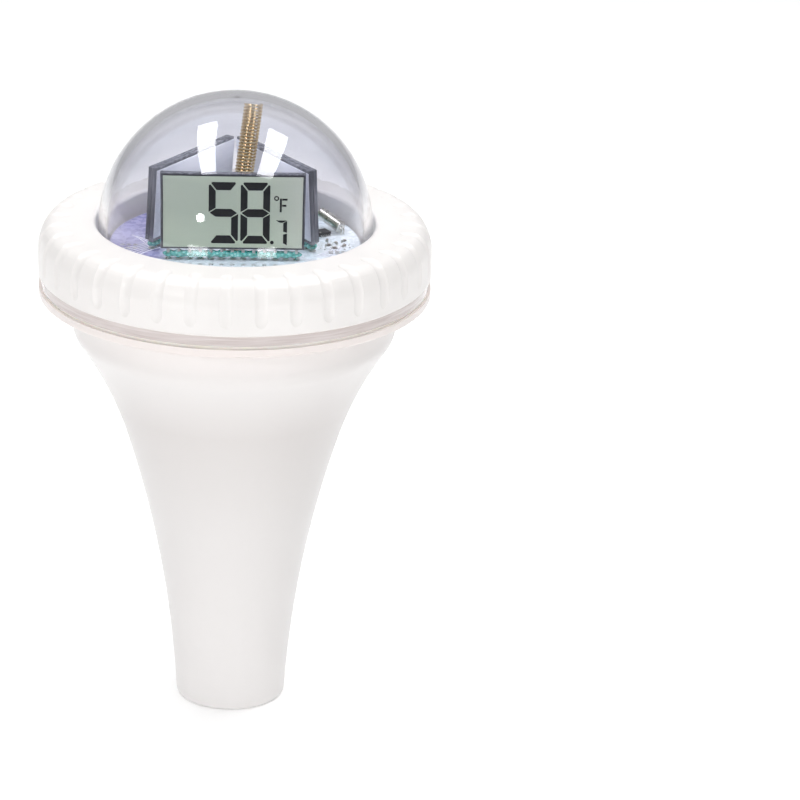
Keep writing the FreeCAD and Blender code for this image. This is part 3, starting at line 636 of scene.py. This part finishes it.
def segment_outlines(width, height, upright, level, gap, corner):
    """The seven strokes of a digit as (x, z) outlines, with mitred ends and clipped outer corners."""
    half = height / 2
    inner_top = height - level
    mid_up, mid_down = half + level / 2, half - level / 2
    clip = corner / 2

    def mirrored(outline):
        return [(width - x, z) for x, z in reversed(outline)]

    def flipped(outline):
        return [(x, height - z) for x, z in reversed(outline)]

    stroke_a = [
        (corner, height), (clip + gap, height - clip), (upright + gap, inner_top),
        (width - upright - gap, inner_top), (width - clip - gap, height - clip), (width - corner, height)]
    stroke_f = [
        (0, height - corner), (0, half + gap), (upright, mid_up + gap),
        (upright, inner_top - gap), (clip, height - clip - gap)]
    stroke_g = [
        (gap, half), (upright, mid_down), (width - upright, mid_down),
        (width - gap, half), (width - upright, mid_up), (upright, mid_up)]
    return {
        "a": stroke_a, "f": stroke_f, "g": stroke_g, "d": flipped(stroke_a),
        "b": mirrored(stroke_f), "e": flipped(stroke_f), "c": flipped(mirrored(stroke_f))}


def draw_digit(piece, digit, left, foot, size):
    """The strokes that one digit lights."""
    outlines = segment_outlines(**size)
    for key in DIGIT_SEGMENTS[digit]:
        placed = [(left + x, foot + z) for x, z in outlines[key]]
        piece.prism(placed, INK_FRONT, FACE_FRONT)


def draw_disc(piece, x, z, radius, hole=0.0, sides=28):
    """A dot, or with a hole the ring of the degree sign."""
    if not hole:
        piece.prism([(x + u, z + v) for u, v, _ in circle(radius, sides)], INK_FRONT, FACE_FRONT)
        return
    profile = [(radius, FACE_FRONT), (radius, INK_FRONT), (hole, INK_FRONT), (hole, FACE_FRONT)]
    rings = []
    for reach, depth in profile:
        rings.append([(x + u, depth, z + v) for u, v, _ in circle(reach, sides)])
    piece.rings(rings, close_ends=False)


def display_reading(name, place):
    """The reading: two large digits, a small tenths digit and the sign of the unit."""
    piece = Piece(name + "_display_segments", "lcd_segment")
    for digit, left, foot, size in READING:
        draw_digit(piece, digit, left, foot, size)
    draw_disc(piece, 9.35, 2.15, radius=0.45)
    draw_disc(piece, 10.3, 12.95, radius=0.6, hole=0.31)
    for low, high in UNIT_LETTER:
        piece.prism([low, (low[0], high[1]), high, (high[0], low[1])], INK_FRONT, FACE_FRONT)
    piece.finished(place, smooth=False)


def display_plates(name, place):
    """Two ground glass plates with a dark seal between them; the pins clip on the back plate's ledge."""
    piece = Piece(name + "_display_plates", "display_glass", "display_seal")
    half = GLASS_WIDTH / 2
    ground = 0.1
    back_plate = GLASS_DEPTH - PLATE_THICKNESS
    piece.block((-half, 0.0, GLASS_LEDGE), (half, PLATE_THICKNESS, GLASS_HEIGHT), ground)
    piece.block((-half, back_plate, 0.0), (half, GLASS_DEPTH, GLASS_HEIGHT), ground)
    piece.finish = 1
    inset = 0.12
    bite = 0.02
    piece.block(
        (-half + inset, PLATE_THICKNESS - bite, GLASS_LEDGE + inset),
        (half - inset, back_plate + bite, GLASS_HEIGHT - inset))
    border = 0.25
    piece.block((-half + border, -0.05, 0.5), (half - border, bite, GLASS_HEIGHT - border), bite, steps=1)
    piece.finished(place, replaced=[name + "_display_glass"])


def display_face(name, place):
    """The polarizing sheet stuck on the front, and the silvery sheet on the back."""
    face = Piece(name + "_display_face", "lcd_face")
    edge = 0.62
    face.block(
        (-GLASS_WIDTH / 2 + edge, FACE_FRONT, 0.78),
        (GLASS_WIDTH / 2 - edge, FACE_BACK, GLASS_HEIGHT - edge), 0.04)
    face.finished(place)
    back = Piece(name + "_display_backing", "display_film")
    half = FILM_WIDTH / 2
    back.block((-half, GLASS_DEPTH, FILM_BOTTOM), (half, GLASS_DEPTH + FILM_THICKNESS, FILM_TOP), 0.08)
    back.finished(place, replaced=[name + "_display_reflector"])


def pin_centres():
    """Where the pins stand along a display's edge."""
    return [(i - (PIN_COUNT - 1) / 2) * PIN_PITCH for i in range(PIN_COUNT)]


def display_pins(name, place):
    """Tinned clips: each grips the glass ledge, steps back and ends in a solder cone on the board."""
    piece = Piece(name + "_display_pin_row", "tinned_metal")
    clip = 0.35
    leg = 0.24
    cone = [(0.02, -1.25), (0.22, -1.35), (0.34, -1.65), (0.55, -2.0), (0.82, -2.18), (0.84, -2.26)]
    for x in pin_centres():
        piece.block((x - clip, -0.22, -0.4), (x + clip, -0.02, 0.34), 0.07)
        piece.block((x - clip, -0.22, -0.62), (x + clip, 1.0, -0.4), 0.07)
        piece.block((x - leg, 0.72, -2.2), (x + leg, 1.0, -0.42), 0.06)
        piece.turned(cone, 20, standing(x, 0.86))
    piece.finished(place, replaced=[name + "_display_pins"])


def display_bead(name, place):
    """A run of resin that was squeezed along the pins: it swells at each pin and thins between them."""
    piece = Piece(name + "_display_bead", "resin")
    half = 16.6
    middle_y, middle_z = 0.85, -1.02
    steps = 156
    sides = 18
    rings = []
    for i in range(steps + 1):
        x = -half + 2 * half * i / steps
        ripple = 0.5 + 0.5 * math.cos(2 * math.pi * x / PIN_PITCH)
        wander = 0.12 * math.sin(x * 1.9) + 0.08 * math.sin(x * 4.3 + 1)
        taper = max(0.08, math.sqrt(max(0.0, 1 - (abs(x) / (half + 0.02)) ** 14)))
        reach = (0.8 + 0.18 * ripple + 0.4 * wander) * taper
        drop = (0.74 + 0.16 * ripple + 0.4 * wander) * taper
        ring = []
        for k in range(sides):
            turn = 2 * math.pi * k / sides
            rough = 1 + 0.07 * math.sin(3 * turn + x * 3.1)
            y = middle_y + 1.5 * reach * math.cos(turn) * rough
            z = middle_z + drop * math.sin(turn) * rough
            ring.append((x, y, z))
        rings.append(ring)
    piece.rings(rings)
    piece.finished(place, replaced=[name + "_resin_bead"])


def make_displays():
    """The three panels, turned about their common centre and leaned back."""
    lean = Matrix.Rotation(math.radians(-PANEL_LEAN), 4, "X")
    for name, (angle, shift) in PANELS.items():
        place = standing(*PANEL_CENTRE, angle) @ standing(shift, -PANEL_REACH) @ lean
        display_plates(name, place)
        display_face(name, place)
        display_reading(name, place)
        display_pins(name, place)
        display_bead(name, place)


# ---------------------------------------------------------------- the board and what is soldered to it

def leaning(foot, rise):
    """A place whose vertical leans along a direction."""
    return Matrix.Translation(foot * MM) @ rise.to_track_quat("Z", "X").to_matrix().to_4x4()


def make_antenna():
    """A close-wound helical aerial with a short straight tail into the board."""
    piece = Piece("antenna_winding", "gold_wire")
    turns = (COIL_LENGTH - COIL_TAIL - 2 * COIL_WIRE) / COIL_PITCH
    per_turn = 20
    path = [(COIL_RADIUS, 0, -0.1), (COIL_RADIUS, 0, COIL_TAIL * 0.5)]
    for i in range(int(turns * per_turn) + 1):
        turn = 2 * math.pi * i / per_turn
        height = COIL_TAIL + COIL_PITCH * i / per_turn
        path.append((COIL_RADIUS * math.cos(turn), COIL_RADIUS * math.sin(turn), height))
    piece.tube(path, COIL_WIRE, 10)
    piece.finished(leaning(COIL_FOOT, COIL_RISE), replaced=["antenna_coil"])


def make_crystal():
    """The clock crystal: a drawn can leaning on the board, its base rim and its two bent leads."""
    piece = Piece("crystal_can_body", "can_metal")
    heading = (CRYSTAL_TIP - CRYSTAL_FOOT).normalized()
    can = [
        (0.6, 0.0), (1.52, 0.0), (1.6, 0.06), (1.62, 0.3), (1.54, 0.42), (1.48, 0.6), (1.48, 7.1),
        (1.4, 7.45), (1.1, 7.68), (0.5, 7.78), (0.05, 7.8)]
    piece.turned(can, 40, leaning(CRYSTAL_FOOT, heading))
    across = heading.cross(UP).normalized()
    for side in (-0.5, 0.5):
        root = CRYSTAL_FOOT + across * side
        knee = root - heading
        end = Vector((root.x, root.y, BOARD_TOP)) - heading * 0.35
        piece.tube(bend(root + heading * 0.2, knee, end), radius=0.16)
    piece.finished(replaced=["crystal_can"])


def chip(name, centre, size, height, angle, pins, replaced):
    """A moulded package with gull-wing leads on two sides and a round mark at pin one."""
    piece = Piece(name, "chip_epoxy", "tinned_metal")
    half_x, half_y = size[0] / 2, size[1] / 2
    base = BOARD_TOP
    top = base + height
    shoulder = base + height * 0.42
    piece.block((-half_x, -half_y, base + 0.08), (half_x, half_y, top), 0.12)
    piece.finish = 1
    end_gap = 0.4
    half_lead = 0.11
    pitch = (size[0] - 2 * end_gap) / (pins - 1)
    for i in range(pins):
        x = -half_x + end_gap + pitch * i
        for side in (-1, 1):
            root = side * (half_y - 0.1)
            knee = side * (half_y + 0.32)
            heel = knee - side * 0.1
            upper_bar = (root, knee, shoulder, shoulder + 0.12)
            foot = (heel, knee + side * 0.25, base + 0.01, base + 0.13)
            leg = (heel, knee + side * 0.02, base + 0.05, shoulder + 0.1)
            for start, end, low, high in (upper_bar, foot, leg):
                piece.block((x - half_lead, start, low), (x + half_lead, end, high), 0.03)
    mark = [(0.02, top + 0.012), (0.2, top + 0.012), (0.24, top)]
    piece.turned(mark, 16, standing(-half_x + 0.6, -half_y + 0.6))
    piece.finished(standing(*centre, angle=angle), replaced=replaced)


SOLDER_DOTS = 44
SOLDER_CENTRE = (24.2, -2.6)
SOLDER_REACH = 4.6
SOLDER_TURN = 2.4        # radians from one dot to the next, which spreads them evenly
SMALL_PLACES = [         # x, y and angle of each small component
    (22.6, -2.6, 20), (24.6, -0.9, 100), (26.4, -2.9, 60), (24.0, -4.6, 0),
    (26.6, 0.8, 40), (22.4, 0.9, 80), (-6.0, -8.4, 0), (-2.6, -7.6, 90)]


def make_small_components():
    """Chip resistors and capacitors with wrapped, soldered ends, and a field of solder dots round them."""
    piece = Piece("small_component_bodies", "ceramic", "tinned_metal")
    for x, y, angle in SMALL_PLACES:
        place = standing(x, y, BOARD_TOP, angle)
        piece.finish = 0
        piece.block((-0.5, -0.3, 0.02), (0.5, 0.3, 0.42), 0.05, place=place)
        piece.finish = 1
        for side in (-1, 1):
            piece.block((side * 0.36, -0.33, 0.0), (side * 0.62, 0.33, 0.46), 0.08, place=place)
            piece.block((side * 0.5, -0.3, 0.0), (side * 0.85, 0.3, 0.2), 0.08, place=place)
    for i in range(SOLDER_DOTS):
        turn = SOLDER_TURN * i
        reach = SOLDER_REACH * math.sqrt((i + 0.5) / SOLDER_DOTS)
        x = SOLDER_CENTRE[0] + 1.1 * reach * math.cos(turn)
        y = SOLDER_CENTRE[1] + 0.8 * reach * math.sin(turn)
        radius = 0.16 + 0.08 * math.sin(3.7 * i)
        dot = [
            (radius, -0.02), (radius * 0.95, radius * 0.35),
            (radius * 0.6, radius * 0.7), (0.02, radius * 0.8)]
        piece.turned(dot, 12, standing(x, y, BOARD_TOP))
    piece.finished(replaced=["small_components"])


TRACK_FANS = [           # count, width, then each point of the first track and its step to the next track
    (6, 0.26, ((-28.0, -7.0), (0.9, -1.0)), ((-22.5, -4.8), (0.4, -0.3)), ((-17.8, 3.2), (0.35, -1.5))),
    (4, 0.2, ((-25.5, 3.4), (1.0, -0.8)), ((-22.4, 0.2), (0.8, 0.0)), ((-20.6, -6.5), (0.9, 0.6))),
    (5, 0.2, ((19.6, -9.5), (0.7, -0.4)), ((22.5, -7.5), (0.6, 0.0)), ((23.2, -4.0), (0.7, 0.3)))]
PAD_GRIDS = [            # count, columns, the first pad's centre, and the step between pads
    (6, 3, (-27.4, -6.0), (1.6, 2.3)), (8, 4, (23.0, -8.2), (1.5, 1.2))]
PAD_RING = [(0.28, 0.0), (0.28, 0.07), (0.5, 0.07), (0.58, 0.03), (0.58, 0.0)]
PIN_PADS_Y = -17.3


def make_tracks():
    """Copper tracks, raised a little under the mask: three curved fans, and one from each front pin."""
    tracks = Piece("board_tracks", "trace")
    low, high = BOARD_TOP - 0.01, BOARD_TOP + 0.05
    for count, width, *points in TRACK_FANS:
        for i in range(count):
            start, middle, end = [(x + dx * i, y + dy * i) for (x, y), (dx, dy) in points]
            ribbon(tracks, bend(start, middle, end), width, low, high)
    for pin in pin_centres():
        x = PANEL_CENTRE[0] + pin
        path = [(x, -17.8), (x, -18.8), (x + 0.8, -19.6), (x + 0.8, -21.0)]
        ribbon(tracks, path, 0.22, low, high)
    tracks.finished()


def make_pads():
    """Plated holes: two grids of them, and one at each front pin."""
    pads = Piece("board_pads", "tinned_metal")
    places = []
    for count, columns, (x, y), (dx, dy) in PAD_GRIDS:
        places += [(x + dx * (i % columns), y + dy * (i // columns)) for i in range(count)]
    places += [(PANEL_CENTRE[0] + pin, PIN_PADS_Y) for pin in pin_centres()]
    for x, y in places:
        pads.turned(PAD_RING, 20, standing(x, y, BOARD_TOP), close_ends=False)
    pads.finished()


SWITCH_HALF = 2.05
SWITCH_ANGLE = -62


def make_switch(name, centre_of):
    """A tactile switch: black base, stamped steel lid with four rivets, and four feet."""
    low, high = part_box(centre_of)
    middle = (low + high) / (2 * MM)
    piece = Piece(name, "button_plastic", "can_metal")
    half = SWITCH_HALF
    lid = high.z / MM - BOARD_TOP
    place = standing(middle.x, middle.y, BOARD_TOP, SWITCH_ANGLE)
    piece.block((-half, -half, 0.1), (half, half, lid - 0.35), 0.12, place=place)
    piece.finish = 1
    piece.block((-half, -half, lid - 0.34), (half, half, lid - 0.02), 0.1, place=place)
    rivet = [(0.3, lid - 0.04), (0.28, lid), (0.15, lid + 0.03)]
    for x in (-1, 1):
        for y in (-1, 1):
            piece.turned(rivet, 12, place @ standing(1.5 * x, 1.5 * y))
            foot = y * 1.3
            root, tip = x * half, x * (half + 0.6)
            piece.block((root, foot - 0.3, 0.0), (tip, foot + 0.3, 0.16), 0.05, place=place)
    piece.finished(replaced=[centre_of])


def make_dome_cover():
    """The clear cover: its dome is shaded as true spheres, and its clamped rim takes the finish with
    painted light.
    """
    data = NODES["dome_cover"].data.copy()
    data.name = "dome_cover_shell"
    data.materials.clear()
    for key in ("clear_dome", "clear_edge_painted_light"):
        data.materials.append(MATERIALS[key])
    centre = Vector((0, 0, DOME_CENTRE_HEIGHT)) * MM
    normals = [Vector(corner.vector) for corner in data.corner_normals]
    outer, inner = DOME_RADIUS * MM, (DOME_RADIUS - DOME_WALL) * MM

    def on_sphere(offset, radius):
        """Whether a corner lies on the upper half of a sphere round the dome's centre."""
        return abs(offset.length - radius) < ON_SPHERE * MM and offset.z > -0.01 * MM

    for face in data.polygons:
        offsets = [data.vertices[i].co - centre for i in face.vertices]
        in_rim = face.center.z < RIM_TOP * MM and face.center.xy.length > RIM_INNER_RADIUS * MM
        # the rim's faces take the clear edge finish, whose milky rose is painted light
        face.material_index = int(in_rim)
        for radius, sign in ((outer, 1), (inner, -1)):
            if all(on_sphere(offset, radius) for offset in offsets):
                for corner, offset in zip(face.loop_indices, offsets):
                    normals[corner] = offset.normalized() * sign
    data.normals_split_custom_set(normals)
    piece = bpy.data.objects.new("dome_cover_shell", data)
    bpy.context.scene.collection.objects.link(piece)
    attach(piece, "cover")
    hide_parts("dome_cover")


def make_electronics():
    """Everything on the board except the displays and the switches."""
    make_antenna()
    make_crystal()
    chip("controller_chip_package", (21.4, 5.6), (3.4, 2.9), 1.1, 30, 6, ["controller_chip"])
    chip("radio_chip_package", (-7.0, -4.0), (4.6, 3.2), 1.3, 0, 8, ["radio_chip"])
    make_small_components()
    make_tracks()
    make_pads()


# ---------------------------------------------------------------- the stage

CAMERA_AIM = Vector((0, 0, 78.44)) * MM
CAMERA_DISTANCE = 1.0
CAMERA_ELEVATION = 21.09
CAMERA_YAW = 2.530
CAMERA_PITCH = -0.047
CAMERA_ROLL = 1.594
CAMERA_LENS = 181.6
ROOM_OPENING_RISE = math.radians(25.0)
ROOM_COLOUR = (0.98, 0.985, 1.0, 1.0)
ROOM_FALL = {            # how the room darkens from behind the object towards the opening in front
    "From Min": -0.3, "From Max": 0.5, "To Min": 0.55, "To Max": 0.12}


def make_camera():
    """Looks down a little from the front; the object stands left of the middle, as in a shared picture."""
    data = bpy.data.cameras.new("camera")
    data.lens = CAMERA_LENS
    data.sensor_width = 36.0
    data.clip_start = 0.05
    data.clip_end = 20.0
    camera = bpy.data.objects.new("camera", data)
    bpy.context.scene.collection.objects.link(camera)
    tilt = math.radians(CAMERA_ELEVATION)
    camera.location = CAMERA_AIM + Vector((0, -math.cos(tilt), math.sin(tilt))) * CAMERA_DISTANCE
    yaw, drop = math.radians(CAMERA_YAW), math.radians(CAMERA_ELEVATION + CAMERA_PITCH)
    heading = Vector((math.sin(yaw) * math.cos(drop), math.cos(yaw) * math.cos(drop), -math.sin(drop)))
    right = Vector((math.cos(yaw), -math.sin(yaw), 0))
    over = right.cross(heading)
    roll = math.radians(CAMERA_ROLL)
    side = right * math.cos(roll) + over * math.sin(roll)
    top = over * math.cos(roll) - right * math.sin(roll)
    axes = Matrix((side, top, -heading)).transposed()
    camera.rotation_mode = "QUATERNION"
    camera.rotation_quaternion = axes.to_quaternion()
    bpy.context.scene.camera = camera


def make_floor():
    """A wide pale disc with its rim rolled down."""
    mesh = bmesh.new()
    rim = 3.0
    sides = 96
    rows = []
    for radius, height in ((0.2, 0.0), (1.0, 0.0), (rim, 0.0), (rim + 0.02, -0.01)):
        rows.append([mesh.verts.new(spot) for spot in circle(radius, sides, height)])
    mesh.faces.new(rows[0])
    for inner, outer in zip(rows, rows[1:]):
        for i in range(sides):
            j = (i + 1) % sides
            mesh.faces.new([inner[i], outer[i], outer[j], inner[j]])
    data = bpy.data.meshes.new("floor")
    mesh.to_mesh(data)
    mesh.free()
    data.materials.append(MATERIALS["floor"])
    floor = bpy.data.objects.new("floor", data)
    bpy.context.scene.collection.objects.link(floor)


WATTS_PER_RADIANCE = 4.0  # power that gives each square metre of an area lamp's face a radiance of one


def make_lamp(name, centre, size, radiance, facing=None, turn=0.0, shape="RECTANGLE", mirrored=True):
    """A soft box whose face has the given radiance; it faces down unless told where to look."""
    width, length = size
    data = bpy.data.lights.new(name, "AREA")
    data.shape = shape
    data.size = width
    data.size_y = length
    area = width * length * (math.pi / 4 if shape == "DISK" else 1.0)
    data.energy = WATTS_PER_RADIANCE * area * radiance
    lamp = bpy.data.objects.new(name, data)
    lamp.location = centre
    lamp.rotation_mode = "QUATERNION"
    heading = (facing - centre).normalized() if facing else -UP
    spin = Matrix.Rotation(math.radians(turn), 3, "Z").to_quaternion()
    lamp.rotation_quaternion = heading.to_track_quat("-Z", "Y") @ spin
    lamp.visible_camera = False
    lamp.visible_glossy = mirrored
    lamp.visible_transmission = mirrored
    bpy.context.scene.collection.objects.link(lamp)


def from_dome(azimuth, elevation, distance):
    """A place seen from the dome's centre; azimuth runs from the front towards the right."""
    turn, rise = math.radians(azimuth), math.radians(elevation)
    heading = Vector((math.sin(turn) * math.cos(rise), -math.cos(turn) * math.cos(rise), math.sin(rise)))
    return Vector((0, 0, DOME_CENTRE_HEIGHT * MM)) + heading * distance


def make_lights():
    """Two strips overhead and small lamps in front, which the dome mirrors, and fills that it doesn't."""
    dome = Vector((0, 0, DOME_CENTRE_HEIGHT * MM))
    make_lamp("strip_left", dome + Vector((-0.367, 0.07, 1.0)), (0.235, 1.0), 6.6, turn=-5.5)
    make_lamp("strip_right", dome + Vector((0.467, 0.0, 1.0)), (0.27, 0.95), 6.6, turn=-2.6)
    make_lamp("low_left", from_dome(-30.5, -4.0, 0.7), (0.2, 0.12), 4.0, dome)
    make_lamp("low_right", from_dome(25.5, -4.0, 0.7), (0.18, 0.12), 4.0, dome)
    make_lamp("round_lamp", from_dome(-31.7, 23.2, 0.8), (0.092, 0.092), 24.0, dome, shape="DISK")
    make_lamp("ceiling", Vector((0, 0.4, 2.6)), (3.0, 3.0), 0.3, mirrored=False)
    make_lamp("front_fill", from_dome(0.0, 20.0, 1.5), (1.2, 0.8), 1.3, dome, mirrored=False)
    make_lamp("dome_fill", Vector((0, 0, 0.152)), (0.02, 0.02), 3.0, shape="DISK", mirrored=False)


def make_room():
    """Pale walls all round that the dome's rim mirrors, and a darker opening in front of the object."""
    room = bpy.data.worlds.new("room")
    room.use_nodes = True
    tree = room.node_tree
    place = tree.nodes.new("ShaderNodeTexCoord")
    facing = tree.nodes.new("ShaderNodeVectorMath")
    facing.operation = "DOT_PRODUCT"
    facing.inputs[1].default_value = (0.0, -math.cos(ROOM_OPENING_RISE), math.sin(ROOM_OPENING_RISE))
    tree.links.new(place.outputs["Generated"], facing.inputs[0])
    fall = tree.nodes.new("ShaderNodeMapRange")
    for key, value in ROOM_FALL.items():
        fall.inputs[key].default_value = value
    tree.links.new(facing.outputs["Value"], fall.inputs["Value"])
    background = tree.nodes["Background"]
    background.inputs["Color"].default_value = ROOM_COLOUR
    tree.links.new(fall.outputs["Result"], background.inputs["Strength"])
    bpy.context.scene.world = room


bpy.context.scene.view_settings.view_transform = "Standard"
make_camera()
dress_cad_nodes()
make_dome_cover()
make_displays()
make_electronics()
make_switch("unit_switch_body", "unit_switch")
make_switch("pairing_switch_body", "pairing_switch")
make_floor()
make_lights()
make_room()
